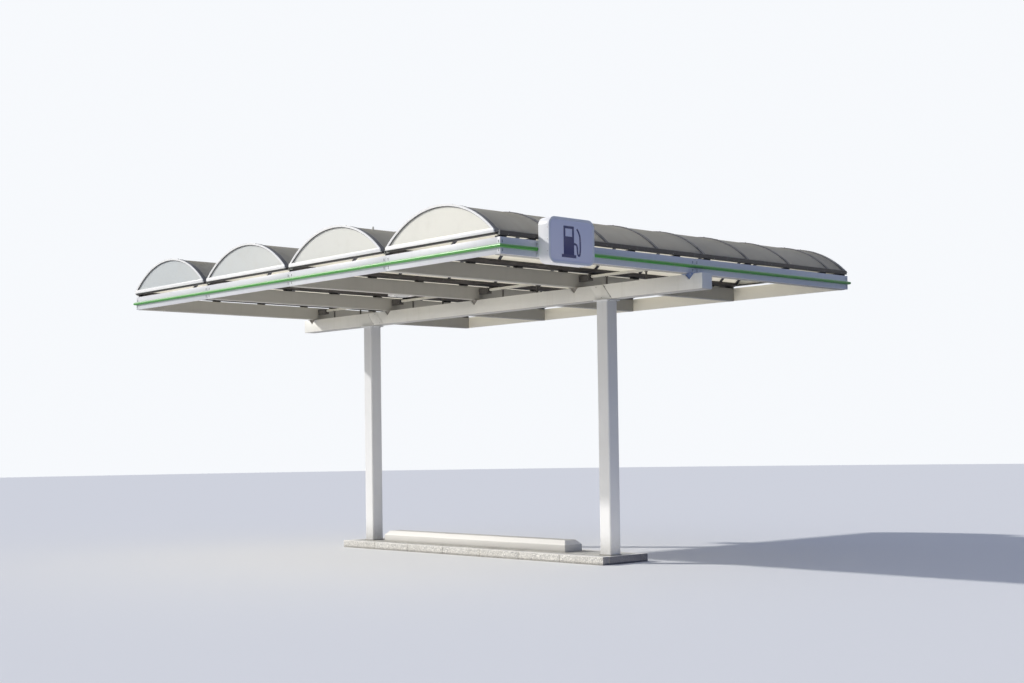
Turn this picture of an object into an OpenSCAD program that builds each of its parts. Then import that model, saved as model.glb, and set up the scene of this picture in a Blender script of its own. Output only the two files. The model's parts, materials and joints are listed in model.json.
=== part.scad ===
// Filling station canopy: island, two columns, one long beam, five cross beams,
// four barrel vault rooflights, white fascias with a green stripe and a bare sign box.
// Millimetres, Z up. Origin: on the ground under the long beam, halfway between the columns.

/* [Roof] */
// Width of one vault bay along the long beam
bay = 2600; // [2000:10:3200]
// Overall roof depth across the long beam
roof_depth = 8340; // [6000:10:10000]
// Height of the fascia's lower edge above the ground
fascia_bottom = 4686; // [3800:1:5500]
// Height of the fascia panels
fascia_h = 240; // [200:1:400]
// Thickness of the fascia panels
fascia_t = 30; // [15:1:60]
// Open joint between neighbouring fascia panels
panel_joint = 4; // [1:1:10]

/* [Long beam] */
// Width of the long box beam
beam_w = 240; // [160:1:400]
// Depth of the long box beam
beam_h = 251; // [160:1:400]
// Wall of the long box beam
beam_wall = 10; // [6:1:20]
// How far the long beam runs past the roof edge
beam_past = 245; // [50:5:600]
// How far a slanted splice leans over the depth of the beam
seam_lean = 200; // [60:5:300]

/* [Columns] */
// How far each column stands outside the first bay line from the middle
column_past = 655; // [500:5:900]
// Side of the square columns
column_w = 250; // [160:1:400]
// Wall of the square columns
column_wall = 10; // [6:1:20]
// Outer corner radius of the square columns
column_r = 24; // [21:1:40]
// Side of the plate on top of a column
cap_w = 320; // [260:1:450]
// Thickness of the plate on top of a column
cap_t = 20; // [10:1:40]

/* [Cross beams] */
// Width of a cross beam
cross_w = 120; // [80:1:200]
// Wall of a cross beam
cross_wall = 6; // [4:1:12]
// Outer corner radius of a cross beam
cross_r = 15; // [13:1:25]
// Thickness of the shoe plate between the long beam and a cross beam
shoe_t = 5; // [4:1:20]
// Half width of the pointed shoe at its top
shoe_half = 95; // [60:1:120]
// How far the point of the shoe hangs down
shoe_drop = 91; // [40:1:120]
// How far the shoe plate runs out past the long beam
shoe_out = 45; // [20:1:120]
// How deep the shoe's face lies behind the face of the long beam
shoe_set = 12; // [2:1:30]

/* [Vaults] */
// Height of the highest point of the vault edge trim
vault_top = 5530; // [5300:5:6000]
// Distance from a valley line to the foot of the vault's outer face
foot_in = 53; // [46:1:70]
// How far the vault ends stand out past the fascias
end_past = 60; // [30:1:120]
// Height of the gap between fascia top and base profile
foot_h = 28; // [15:1:60]
// Height of the base profiles
profile_h = 67; // [60:1:110]
// Width of the base profiles
profile_w = 120; // [116:1:180]
// Thickness of the translucent skin
skin_t = 10; // [6:1:16]
// Position of the first inner rib from the front edge of the roof
first_rib = 1115; // [600:5:1300]
// Distance between the inner ribs
rib_pitch = 1125; // [800:1:1400]
// Width of a rib's outer cap along the vault
rib_cap_w = 60; // [40:1:90]
// Depth of the dark frame behind the white trim of a vault end
frame_d = 82; // [70:1:110]
// Distance of the first bearing block from the long beam's middle line
block_first = 370; // [250:5:600]
// Distance between the bearing blocks
block_pitch = 1045; // [700:5:1400]

/* [Stripe] */
// Height of the green stripe profile
stripe_h = 50; // [30:1:90]
// How far the green stripe stands out
stripe_out = 45; // [30:1:80]

/* [Sign box] */
// Width of the sign box along the end fascia
sign_w = 925; // [600:5:1400]
// Height of the sign box
sign_h = 667; // [400:1:900]
// Depth of the sign box
sign_d = 215; // [120:1:300]
// Corner radius of the sign box
sign_r = 125; // [40:1:200]
// Distance of the sign box from the front edge of the roof
sign_from_front = 700; // [300:10:1500]

/* [Island] */
// Height of the kerb island
island_h = 138; // [80:1:220]
// How far the island runs past the left column
island_past_left = 450; // [250:5:900]
// How far the island runs past the right column
island_past_right = 245; // [200:5:900]
// Width of the kerb island
island_w = 1093; // [700:1:1600]
// Width of the kerb stones
kerb_w = 150; // [80:5:250]
// Length of the raised plinth on the island
plinth_l = 5060; // [3000:10:5600]
// Depth of the raised plinth
plinth_w = 420; // [300:5:600]
// Height of the raised plinth
plinth_h = 205; // [120:1:400]
// Bevel along the plinth's upper edges
plinth_bevel = 80; // [20:1:100]

/* [Services] */
// Diameter of the light service tubes above the long beam
tube_d = 48; // [20:1:80]
// Side of the square flat luminaires
lamp_w = 400; // [380:5:700]
// Thickness of the flat luminaires
lamp_t = 60; // [30:1:120]
// Corner radius of the flat luminaires
lamp_r = 95; // [40:1:110]
// Diameter of the domed lens under a luminaire
lens_d = 290; // [160:5:320]

/* [Hidden] */
fit = 0.3;
$fn = 96;
arch_fn = 512;
bays = 4;
roof_x = bay * bays / 2;
roof_y = roof_depth / 2;
fascia_top = fascia_bottom + fascia_h;
cross_top = fascia_top - 1;
cross_bottom = fascia_bottom - 6;
beam_top = cross_bottom - shoe_t;
beam_bottom = beam_top - beam_h;
beam_end = roof_x + beam_past;
column_x = bay + column_past;
column_top = beam_bottom - cap_t;
seam_x_left = -column_x + 108;
seam_x_right = column_x + 130;
splice_l = 298;
inner_x = roof_x - fascia_t;
inner_y = roof_y - fascia_t;
edge_cross_x = inner_x - cross_w / 2;
shoe_edge_x = roof_x - 20;
profile_z = cross_top + foot_h;
profile_top = profile_z + profile_h;
profile_out = bay / 2 - 5;
profile_in = profile_out - profile_w;
profile_end = roof_y - 5;
profile_flat = 60;
profile_wall = 6;
groove_z = profile_z + 20;
cover_t = 4;
half_chord = bay / 2 - foot_in;
rise = vault_top - profile_top;
vault_r = (half_chord * half_chord + rise * rise) / (2 * rise);
vault_zc = vault_top - vault_r;
cap_r = vault_r - 2;
cap_h = 12;
skin_r = cap_r - cap_h - fit;
inner_r = skin_r - skin_t - fit;
rib_depth = 20;
rib_web = 16;
end_y = roof_y + end_past;
trim_t = 12;
trim_y = end_y - trim_t;
trim_w = 32;
gasket_w = 8;
end_panel_t = 8;
panel_y = end_y - 26;
rib_end_y = panel_y - end_panel_t - fit;
end_rib_w = 52;
end_web = 18;
bar_h = 58;
bar_out = 6;
bar_z = profile_top - 32;
bar_top = bar_z + bar_h;
sill_h = 22;
rib_count = floor((roof_depth - first_rib - 350) / rib_pitch) + 1;
block_l = 120;
block_count = floor((roof_y - block_first - 200) / block_pitch) + 1;
stripe_z = fascia_bottom + 114;
sign_y0 = -roof_y + sign_from_front;
sign_z0 = fascia_bottom - 96;
sign_back = roof_x + 40;
sign_rim = 34;
tube_z = beam_top + 175;
stub_at = [668, 1563];
box_l = 240;
box_h = 110;
box_w = 110;
lamp_y = 1600;
lamp_z = cross_bottom + 10;
island_x0 = -column_x - island_past_left;
island_l = 2 * column_x + island_past_left + island_past_right;
island_y0 = -432;
plinth_x0 = -column_x + 455;
plinth_y0 = -90;
lug_y = -roof_y + 747;
lamp_lip = 24;
lens_h = 30;
lens_r = (lens_d * lens_d / 4 + lens_h * lens_h) / (2 * lens_h);
stripe_wall = 3;

// centre of vault k along the long beam, k = 0..3 from the left end
function vault_x(k) = -roof_x + bay * (k + 0.5);

// centre of cross beam k, k = 0..4 from the left end
function cross_x(k) = k == 0 ? -edge_cross_x : k == bays ? edge_cross_x : -roof_x + bay * k;

// centre of the pointed shoe under cross beam k
function shoe_x(k) = k == 0 ? -shoe_edge_x : k == bays ? shoe_edge_x : -roof_x + bay * k;

function rib_y(i) = -roof_y + first_rib + rib_pitch * i;

// the two edges of skin panel i along the vault, between the webs of its ribs
function skin_y0(i) =
    i == 0 ? -rib_end_y + end_web + rib_web + fit : rib_y(i - 1) + rib_web / 2 + fit;
function skin_y1(i) =
    i == rib_count ? rib_end_y - end_web - rib_web - fit : rib_y(i) - rib_web / 2 - fit;

// points of a base profile, given from the vault's middle, set on one side of vault k
function beside(k, side, points) = [for (p = points) [vault_x(k) + side * p[0], p[1]]];

// a shape drawn in the X-Z plane, run from y0 to y1
module along_y(y0, y1) {
    translate([0, y1, 0])
        rotate([90, 0, 0])
            linear_extrude(y1 - y0)
                children();
}

// a shape drawn in the Y-Z plane, run from x0 to x1
module along_x(x0, x1) {
    translate([x0, 0, 0])
        rotate([90, 0, 90])
            linear_extrude(x1 - x0)
                children();
}

module block(x0, x1, y0, y1, z0, z1) {
    translate([x0, y0, z0])
        cube([x1 - x0, y1 - y0, z1 - z0]);
}

// rectangle with rounded corners
module rounded(x0, x1, y0, y1, r) {
    for (x = [x0 + r, x1 - r])
        for (y = [y0 + r, y1 - r])
            translate([x, y])
                circle(r);
    translate([x0 + r, y0])
        square([x1 - x0 - 2 * r, y1 - y0]);
    translate([x0, y0 + r])
        square([x1 - x0, y1 - y0 - 2 * r]);
}

// section of a rolled hollow bar
module hollow_section(x0, x1, y0, y1, wall, r) {
    difference() {
        rounded(x0, x1, y0, y1, r);
        rounded(x0 + wall, x1 - wall, y0 + wall, y1 - wall, r - wall);
    }
}

// part of a ring about the vault's axis that lies above height z0
module arch(k, r0, r1, y0, y1, z0) {
    along_y(y0, y1)
        translate([vault_x(k), vault_zc])
            intersection() {
                difference() {
                    circle(r1, $fn = arch_fn);
                    if (r0 > 0)
                        circle(r0, $fn = arch_fn);
                }
                translate([-bay, z0 - vault_zc])
                    square([2 * bay, 2 * bay]);
            }
}

module kerb_stones() {
    color("silver")
        difference() {
            block(island_x0, island_x0 + island_l, island_y0, island_y0 + island_w, 0, island_h);
            translate([0, 0, -1])
                block(island_x0 + kerb_w, island_x0 + island_l - kerb_w,
                      island_y0 + kerb_w, island_y0 + island_w - kerb_w, 0, island_h + 2);
        }
}

module island_paving() {
    color("gray")
        block(island_x0 + kerb_w + fit, island_x0 + island_l - kerb_w - fit,
              island_y0 + kerb_w + fit, island_y0 + island_w - kerb_w - fit, 0, island_h);
}

// raised block with bevelled upper edges on all four sides
module pump_plinth() {
    z1 = island_h + plinth_h;
    x1 = plinth_x0 + plinth_l;
    y1 = plinth_y0 + plinth_w;
    color("white")
        intersection() {
            along_y(plinth_y0, y1)
                polygon([[plinth_x0, island_h], [x1, island_h], [x1, z1 - plinth_bevel],
                         [x1 - plinth_bevel, z1], [plinth_x0 + plinth_bevel, z1],
                         [plinth_x0, z1 - plinth_bevel]]);
            along_x(plinth_x0 - 1, x1 + 1)
                polygon([[plinth_y0, island_h], [y1, island_h], [y1, z1 - plinth_bevel],
                         [y1 - plinth_bevel, z1], [plinth_y0 + plinth_bevel, z1],
                         [plinth_y0, z1 - plinth_bevel]]);
        }
}

module column(x) {
    h = column_w / 2;
    color("white")
        translate([x, 0, island_h])
            linear_extrude(column_top - island_h)
                hollow_section(-h, h, -h, h, column_wall, column_r);
}

module column_left() { column(-column_x); }
module column_right() { column(column_x); }

module column_caps() {
    color("white")
        for (x = [-column_x, column_x])
            block(x - cap_w / 2, x + cap_w / 2, -cap_w / 2, cap_w / 2, column_top, beam_bottom);
}

// one length of the long box beam between two slanted or square ends
module beam_length(x0b, x0t, x1b, x1t) {
    w = beam_wall;
    color("whitesmoke")
        difference() {
            along_y(-beam_w / 2, beam_w / 2)
                polygon([[x0b, beam_bottom], [x1b, beam_bottom], [x1t, beam_top], [x0t, beam_top]]);
            block(-beam_end + w, beam_end - w, -beam_w / 2 + w, beam_w / 2 - w,
                  beam_bottom + w, beam_top - w);
            for (k = [0 : bays])
                along_y(-beam_w, beam_w)
                    polygon([[shoe_x(k) - shoe_half - fit, beam_top + 1],
                             [shoe_x(k) - shoe_half - fit, beam_top],
                             [shoe_x(k), beam_top - shoe_drop - fit],
                             [shoe_x(k) + shoe_half + fit, beam_top],
                             [shoe_x(k) + shoe_half + fit, beam_top + 1]]);
        }
}

module main_beam_left() {
    s = seam_x_left;
    beam_length(-beam_end, -beam_end, s + seam_lean / 2 - 2, s - seam_lean / 2 - 2);
}

module main_beam_middle() {
    s = seam_x_left;
    t = seam_x_right;
    beam_length(s + seam_lean / 2 + 2, s - seam_lean / 2 + 2,
                t + seam_lean / 2 - 2, t - seam_lean / 2 - 2);
}

module main_beam_right() {
    t = seam_x_right;
    beam_length(t + seam_lean / 2 + 2, t - seam_lean / 2 + 2, beam_end, beam_end);
}

// slanted cover plates beside the two splices, on the middle length's two faces
module splice_plates() {
    color("whitesmoke")
        for (s = [seam_x_left + 2, seam_x_right - 2 - splice_l])
            for (y = [-beam_w / 2 - 6, beam_w / 2])
                along_y(y, y + 6)
                    polygon([[s + seam_lean / 2, beam_bottom + 6],
                             [s + seam_lean / 2 + splice_l, beam_bottom + 6],
                             [s - seam_lean / 2 + splice_l, beam_top - 6],
                             [s - seam_lean / 2, beam_top - 6]]);
}

// rolled hollow bar with a plate welded into each end
module cross_beam(k) {
    h = cross_w / 2;
    w = cross_wall;
    color("gainsboro")
        union() {
            along_y(-inner_y, inner_y)
                hollow_section(cross_x(k) - h, cross_x(k) + h, cross_bottom, cross_top, w, cross_r);
            for (y = [-inner_y, inner_y - w])
                along_y(y, y + w)
                    rounded(cross_x(k) - h, cross_x(k) + h, cross_bottom, cross_top, cross_r);
        }
}

module cross_beam_1() { cross_beam(0); }
module cross_beam_2() { cross_beam(1); }
module cross_beam_3() { cross_beam(2); }
module cross_beam_4() { cross_beam(3); }
module cross_beam_5() { cross_beam(4); }

// pointed shoe let into the long beam, and the plate on which the cross beam lies
module shoe(k) {
    x = shoe_x(k);
    far = beam_w / 2 + shoe_out;
    near = beam_w / 2 - shoe_set;
    union() {
        along_y(-near, near)
            polygon([[x - shoe_half, beam_top], [x, beam_top - shoe_drop],
                     [x + shoe_half, beam_top]]);
        block(min(x - shoe_half, cross_x(k) - cross_w / 2),
              max(x + shoe_half, cross_x(k) + cross_w / 2), -far, far, beam_top, cross_bottom);
    }
}

module beam_shoes() {
    color("dimgray")
        for (k = [0 : bays])
            shoe(k);
}

// rubber blocks under the base profiles, laid out evenly to both sides of the long beam
module bearing_blocks() {
    ys = concat([for (i = [0 : block_count - 1]) block_first + block_pitch * i],
                [inner_y - block_l / 2 - 2]);
    color("black")
        for (k = [0 : bays])
            for (s = [-1, 1])
                for (y = ys)
                    block(cross_x(k) - cross_w / 2, cross_x(k) + cross_w / 2,
                          s * y - block_l / 2, s * y + block_l / 2, cross_top, profile_z);
}

// hollow base profile: sloped underside, two shadow grooves outside and the curved groove
// that takes the skin
module base_profile(k, side) {
    difference() {
        along_y(-profile_end, profile_end)
            polygon(beside(k, side, [
                [profile_in, profile_z + 26], [profile_out - profile_flat, profile_z],
                [profile_out, profile_z],
                [profile_out, profile_z + 11], [profile_out - 5, profile_z + 13],
                [profile_out - 5, profile_z + 19], [profile_out, profile_z + 21],
                [profile_out, profile_top - 27], [profile_out - 5, profile_top - 25],
                [profile_out - 5, profile_top - 19], [profile_out, profile_top - 17],
                [profile_out, profile_top - 8], [profile_out - 8, profile_top],
                [profile_in, profile_top]]));
        arch(k, inner_r, skin_r + fit, -roof_y, roof_y, groove_z);
        along_y(-profile_end + profile_wall, profile_end - profile_wall)
            intersection() {
                polygon(beside(k, side, [
                    [profile_in + profile_wall, profile_z + 26 + profile_wall],
                    [profile_out - profile_flat + 2, profile_z + profile_wall],
                    [profile_out - 14, profile_z + profile_wall],
                    [profile_out - 14, profile_top - profile_wall],
                    [profile_in + profile_wall, profile_top - profile_wall]]));
                translate([vault_x(k), vault_zc])
                    circle(inner_r - profile_wall, $fn = arch_fn);
            }
    }
}

module base_profiles() {
    color("#3a332e")
        for (k = [0 : bays - 1])
            for (side = [-1, 1])
                base_profile(k, side);
}

// pale cover plates on the ends of the base profiles
module profile_caps() {
    color("silver")
        for (k = [0 : bays - 1])
            for (side = [-1, 1])
                for (y = [-profile_end - cover_t, profile_end])
                    along_y(y, y + cover_t)
                        polygon(beside(k, side, [
                            [profile_in + 2, profile_z + 28],
                            [profile_out - profile_flat + 1, profile_z + 2],
                            [profile_out - 2, profile_z + 2],
                            [profile_out - 2, profile_top - 9],
                            [profile_out - 9, profile_top - 2],
                            [profile_in + 2, profile_top - 2]]));
}

module valley_flashings() {
    color("#3a332e")
        for (k = [1 : bays - 1])
            along_y(-profile_end - 20, profile_end + 20)
                polygon([[-roof_x + bay * k - 3, profile_z + 10],
                         [-roof_x + bay * k + 3, profile_z + 10],
                         [-roof_x + bay * k + 3, profile_top],
                         [-roof_x + bay * k + 40, profile_top],
                         [-roof_x + bay * k + 40, profile_top + 3],
                         [-roof_x + bay * k - 40, profile_top + 3],
                         [-roof_x + bay * k - 40, profile_top],
                         [-roof_x + bay * k - 3, profile_top]]);
}

// arched rib: outer cap, web between the skin panels and inner bearer
module rib(k, y, w) {
    arch(k, skin_r + fit, cap_r, y - w / 2, y + w / 2, profile_top);
    arch(k, inner_r - rib_depth, skin_r + fit, y - rib_web / 2, y + rib_web / 2, profile_top);
    arch(k, inner_r - rib_depth, inner_r, y - w / 2 + 5, y + w / 2 - 5, profile_top);
}

// part of a ring at the vault's front end (s = -1) or back end (s = 1)
module end_arch(k, s, r0, r1, near, far, z0) {
    arch(k, r0, r1, min(s * near, s * far), max(s * near, s * far), z0);
}

// end frame: deep outer cap, web and inner bearer, with feet that run down beside the bar
module end_frame(k, s) {
    web_y = rib_end_y - end_web;
    union() {
        end_arch(k, s, skin_r + fit, cap_r, trim_y - fit - frame_d, trim_y - fit, profile_top);
        end_arch(k, s, skin_r + fit, cap_r, profile_end + cover_t + 1, trim_y - fit, bar_z);
        end_arch(k, s, inner_r - rib_depth, skin_r + fit, web_y - rib_web, web_y, profile_top);
        end_arch(k, s, inner_r - rib_depth, inner_r, rib_end_y - end_rib_w, rib_end_y, profile_top);
    }
}

module vault_ribs(k) {
    color("#3a332e") {
        for (i = [0 : rib_count - 1])
            union() rib(k, rib_y(i), rib_cap_w);
        for (s = [-1, 1])
            end_frame(k, s);
    }
}

module vault_ribs_1() { vault_ribs(0); }
module vault_ribs_2() { vault_ribs(1); }
module vault_ribs_3() { vault_ribs(2); }
module vault_ribs_4() { vault_ribs(3); }

module vault_skin(k) {
    color("ivory")
        for (i = [0 : rib_count])
            arch(k, skin_r - skin_t, skin_r, skin_y0(i), skin_y1(i), groove_z + fit);
}

module vault_skin_1() { vault_skin(0); }
module vault_skin_2() { vault_skin(1); }
module vault_skin_3() { vault_skin(2); }
module vault_skin_4() { vault_skin(3); }

// flat segment panels that close the vault ends
module end_panels() {
    color("ivory")
        for (k = [0 : bays - 1])
            for (s = [-1, 1])
                end_arch(k, s, 0, skin_r, panel_y - end_panel_t, panel_y, bar_z);
}

module end_trims() {
    color("white")
        for (k = [0 : bays - 1])
            for (s = [-1, 1])
                end_arch(k, s, vault_r - trim_w, vault_r, trim_y, end_y, bar_top);
}

// dark lining between trim and panel, set back so that only its inner lip shows
module end_gaskets() {
    color("black")
        for (k = [0 : bays - 1])
            for (s = [-1, 1])
                end_arch(k, s, vault_r - trim_w - gasket_w, skin_r, panel_y + fit, trim_y - fit,
                         bar_top);
}

// white bar along the foot of a vault end, stepped back behind the frame's feet
module end_bars() {
    color("white")
        for (k = [0 : bays - 1])
            for (s = [-1, 1])
                intersection() {
                    union() {
                        end_arch(k, s, 0, vault_r, trim_y, end_y + bar_out, bar_z);
                        end_arch(k, s, 0, skin_r, panel_y + fit, trim_y, bar_z);
                    }
                    block(vault_x(k) - half_chord + 10, vault_x(k) + half_chord - 10,
                          -roof_y * 2, roof_y * 2, bar_z, bar_top - fit);
                }
}

// dark sills: one part between the base profiles, one wider part in front of their ends
module end_sills() {
    color("#2a2522")
        for (k = [0 : bays - 1])
            for (s = [-1, 1])
                union() {
                    sill_part(k, s, profile_in - fit, rib_end_y - end_rib_w, panel_y + bar_out);
                    sill_part(k, s, half_chord + 5, profile_end + cover_t + 1, panel_y + bar_out);
                }
}

module sill_part(k, s, half, near, far) {
    block(vault_x(k) - half, vault_x(k) + half, min(s * near, s * far), max(s * near, s * far),
          bar_z - sill_h, bar_z);
}

module fascia_long(y0) {
    color("white")
        for (k = [0 : bays - 1]) {
            x0 = k == 0 ? -roof_x : -roof_x + bay * k + panel_joint / 2;
            x1 = k == bays - 1 ? roof_x : -roof_x + bay * (k + 1) - panel_joint / 2;
            block(x0, x1, y0, y0 + fascia_t, fascia_bottom, fascia_top);
        }
}

module fascia_front() { fascia_long(-roof_y); }
module fascia_back() { fascia_long(inner_y); }

module fascia_short(x0) {
    color("white") {
        block(x0, x0 + fascia_t, -inner_y, -panel_joint / 2, fascia_bottom, fascia_top);
        block(x0, x0 + fascia_t, panel_joint / 2, inner_y, fascia_bottom, fascia_top);
    }
}

module fascia_left() { fascia_short(-roof_x); }
module fascia_right() { fascia_short(inner_x); }

// section of the stripe: flat back on the fascia, half-round front, shrunk by an inset
module stripe_section(inset) {
    r = stripe_h / 2 - inset;
    face = stripe_out - stripe_h / 2;
    translate([inset, stripe_z - r])
        square([face - inset, 2 * r]);
    intersection() {
        translate([face, stripe_z])
            circle(r);
        translate([face - 1, stripe_z - r])
            square([r + 1, 2 * r]);
    }
}

// stripe along one side, mitred at both ends; the side faces -Y before it is turned
module stripe_side(half_len, off) {
    difference() {
        along_x(-half_len - stripe_out, half_len + stripe_out)
            translate([-off, 0])
                mirror([1, 0])
                    difference() {
                        stripe_section(0);
                        stripe_section(stripe_wall);
                    }
        for (s = [-1, 1])
            translate([s * half_len, -off, stripe_z - stripe_h])
                rotate([0, 0, -45 * s])
                    translate([-stripe_out * 3, 0, 0])
                        cube([stripe_out * 6, stripe_out * 3, stripe_h * 2]);
    }
}

module green_stripe() {
    color("green") {
        stripe_side(roof_x, roof_y);
        rotate([0, 0, 180])
            stripe_side(roof_x, roof_y);
        rotate([0, 0, -90])
            stripe_side(roof_y, roof_x);
        difference() {
            rotate([0, 0, 90])
                stripe_side(roof_y, roof_x);
            block(roof_x - 1, roof_x + stripe_out + 1, sign_y0 - 6, sign_y0 + sign_w + 6,
                  stripe_z - stripe_h, stripe_z + stripe_h);
        }
    }
}

module sign_bracket() {
    color("lightgray")
        block(roof_x, sign_back, sign_y0 - 5, sign_y0 + sign_w + 5,
              fascia_bottom + 4, fascia_top - 2);
}

// outline of the sign box, shrunk by an inset
module rounded_sign(inset) {
    rounded(sign_y0 + inset, sign_y0 + sign_w - inset, sign_z0 + inset, sign_z0 + sign_h - inset,
            sign_r - inset);
}

module sign_box() {
    color("white")
        difference() {
            along_x(sign_back, sign_back + sign_d)
                rounded_sign(0);
            along_x(sign_back + sign_d - 14, sign_back + sign_d + 1)
                rounded_sign(sign_rim);
            along_x(sign_back + 5, sign_back + sign_d - 20)
                rounded_sign(5);
        }
}

module sign_face() {
    color("white")
        along_x(sign_back + sign_d - 14, sign_back + sign_d - 4)
            rounded_sign(sign_rim + fit);
}

module service_tubes() {
    color("white")
        for (k = [0 : bays - 1]) {
            x0 = cross_x(k) + cross_w / 2 + box_l;
            x1 = cross_x(k + 1) - cross_w / 2;
            union() {
                translate([x0, 0, tube_z])
                    rotate([0, 90, 0])
                        cylinder(d = tube_d, h = x1 - x0);
                translate([x1 - 12, 0, tube_z])
                    rotate([0, 90, 0])
                        cylinder(d = tube_d + 36, h = 12);
                for (s = stub_at)
                    translate([-roof_x + bay * k + s, 0, beam_top]) {
                        cylinder(d = 34, h = tube_z - beam_top);
                        cylinder(d = 110, h = 8);
                        translate([0, 0, tube_z - beam_top - tube_d / 2 - 8])
                            cylinder(d = 60, h = 10);
                    }
            }
        }
}

module service_boxes() {
    color("#444444")
        for (k = [0 : bays - 1]) {
            x0 = cross_x(k) + cross_w / 2;
            block(x0, x0 + box_l, -box_w / 2, box_w / 2, tube_z - box_h / 2 - 12,
                  tube_z + box_h / 2 - 12);
        }
}

// flat lamp: rounded tray with a lip, a domed lens in it and a plate on the cross beam
module luminaire(y) {
    x1 = cross_x(2) - cross_w / 2;
    x0 = x1 - 12 - lamp_w;
    tray_z = lamp_z + 6;
    union() {
        difference() {
            translate([0, 0, lamp_z])
                linear_extrude(lamp_t)
                    rounded(x0, x1 - 12, y - lamp_w / 2, y + lamp_w / 2, lamp_r);
            translate([0, 0, lamp_z - 1])
                linear_extrude(7)
                    rounded(x0 + lamp_lip, x1 - 12 - lamp_lip, y - lamp_w / 2 + lamp_lip,
                            y + lamp_w / 2 - lamp_lip, lamp_r - lamp_lip);
        }
        intersection() {
            translate([x0 + lamp_w / 2, y, tray_z - lens_h + lens_r])
                sphere(lens_r);
            translate([x0 + lamp_w / 2, y, tray_z - lens_h - 1])
                cylinder(d = lens_d + 10, h = lens_h + 1.5);
        }
        block(x1 - 12, x1, y - 90, y + 90, lamp_z, lamp_z + 140);
    }
}

module luminaires() {
    color("white")
        for (y = [-lamp_y, lamp_y])
            luminaire(y);
}

module ridge_lug() {
    color("gray")
        translate([vault_x(2), lug_y, vault_zc + skin_r - 2])
            difference() {
                union() {
                    cylinder(d = 90, h = 10);
                    cylinder(d = 34, h = 62);
                    translate([0, 0, 62])
                        sphere(d = 34);
                }
                translate([-vault_x(2), 0, 0])
                    translate([0, -lug_y, -vault_zc - skin_r + 2])
                        arch(2, 0, skin_r + fit, lug_y - 80, lug_y + 80, profile_top);
            }
}

kerb_stones();
island_paving();
pump_plinth();
column_left();
column_right();
column_caps();
main_beam_left();
main_beam_middle();
main_beam_right();
splice_plates();
cross_beam_1();
cross_beam_2();
cross_beam_3();
cross_beam_4();
cross_beam_5();
beam_shoes();
bearing_blocks();
base_profiles();
profile_caps();
valley_flashings();
vault_ribs_1();
vault_ribs_2();
vault_ribs_3();
vault_ribs_4();
vault_skin_1();
vault_skin_2();
vault_skin_3();
vault_skin_4();
end_panels();
end_trims();
end_gaskets();
end_bars();
end_sills();
fascia_front();
fascia_back();
fascia_left();
fascia_right();
green_stripe();
sign_bracket();
sign_box();
sign_face();
service_tubes();
service_boxes();
luminaires();
ridge_lug();
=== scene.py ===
# %% [markdown]
# # A filling station canopy
# Four barrel vaults of cloudy sheet stand on a grid of steel beams, two square columns and a kerb island.
# The CAD model already holds every beam, rib and panel at its real size. Here the pieces get their
# finishes, soft edges, stones, screws and bolts. Everything is in metres, with Z up.

# %% The frame
import json
import math

import bpy
from mathutils import Matrix, Vector


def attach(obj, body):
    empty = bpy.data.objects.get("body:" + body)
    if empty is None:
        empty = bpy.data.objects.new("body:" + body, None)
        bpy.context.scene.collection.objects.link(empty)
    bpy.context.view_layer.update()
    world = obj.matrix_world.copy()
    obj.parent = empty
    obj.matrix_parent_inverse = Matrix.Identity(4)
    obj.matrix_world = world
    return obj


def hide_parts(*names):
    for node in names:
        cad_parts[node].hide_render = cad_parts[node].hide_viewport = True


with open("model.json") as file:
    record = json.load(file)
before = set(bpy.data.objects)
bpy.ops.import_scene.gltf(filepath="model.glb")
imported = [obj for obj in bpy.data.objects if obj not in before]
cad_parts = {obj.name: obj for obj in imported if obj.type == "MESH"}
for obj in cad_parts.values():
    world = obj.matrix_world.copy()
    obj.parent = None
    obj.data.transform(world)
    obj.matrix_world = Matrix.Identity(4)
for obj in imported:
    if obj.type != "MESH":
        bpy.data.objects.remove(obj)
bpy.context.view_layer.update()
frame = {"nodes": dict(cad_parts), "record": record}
nodes = frame["nodes"]
slot_of = {part["node"]: part["material_slot"] for part in frame["record"]["subparts"]}

# %% [markdown]
# ## The camera
# The camera could be moved by eye until the picture fits, but that never quite ends. Instead its place was
# worked out: thirty-three points of the canopy were matched to the photograph, and what is left over is
# about a pixel. The lens axis sits a little below the middle of the picture, and a small shift carries that.

# %% The camera
picture_width, sensor_width = 1024, 36.0
bpy.ops.object.camera_add(location=(20.3508, -17.9362, 2.0334))
camera = bpy.context.object
camera.name = "camera"
bpy.context.scene.camera = camera
yaw, pitch, roll = math.radians(137.486), math.radians(1.851), math.radians(-0.784)
forward = Vector((math.cos(yaw) * math.cos(pitch), math.sin(yaw) * math.cos(pitch), math.sin(pitch)))
right = Vector((math.sin(yaw), -math.cos(yaw), 0.0))
up = right.cross(forward)
side = math.cos(roll) * right + math.sin(roll) * up
top = -math.sin(roll) * right + math.cos(roll) * up
camera.rotation_euler = Matrix((side, top, -forward)).transposed().to_euler()
camera.data.sensor_width = sensor_width
camera.data.lens = 1470.25 / picture_width * sensor_width
camera.data.shift_x = 3.118 / picture_width
camera.data.shift_y = 54.183 / picture_width
camera.data.clip_end = 400.0
print("lens", round(camera.data.lens, 2), "mm")

# %% [markdown]
# ## Shader maths
# A finish is a net of small nodes. It could be drawn in the node editor, but a long sum of masks is easier
# to read as plain Python. `Wire` stands for one output socket, and adding or multiplying wires adds the
# Math nodes. `Net` holds the nodes, and its `node` method makes any other node from its type, its settings
# and what goes into its sockets.

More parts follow.
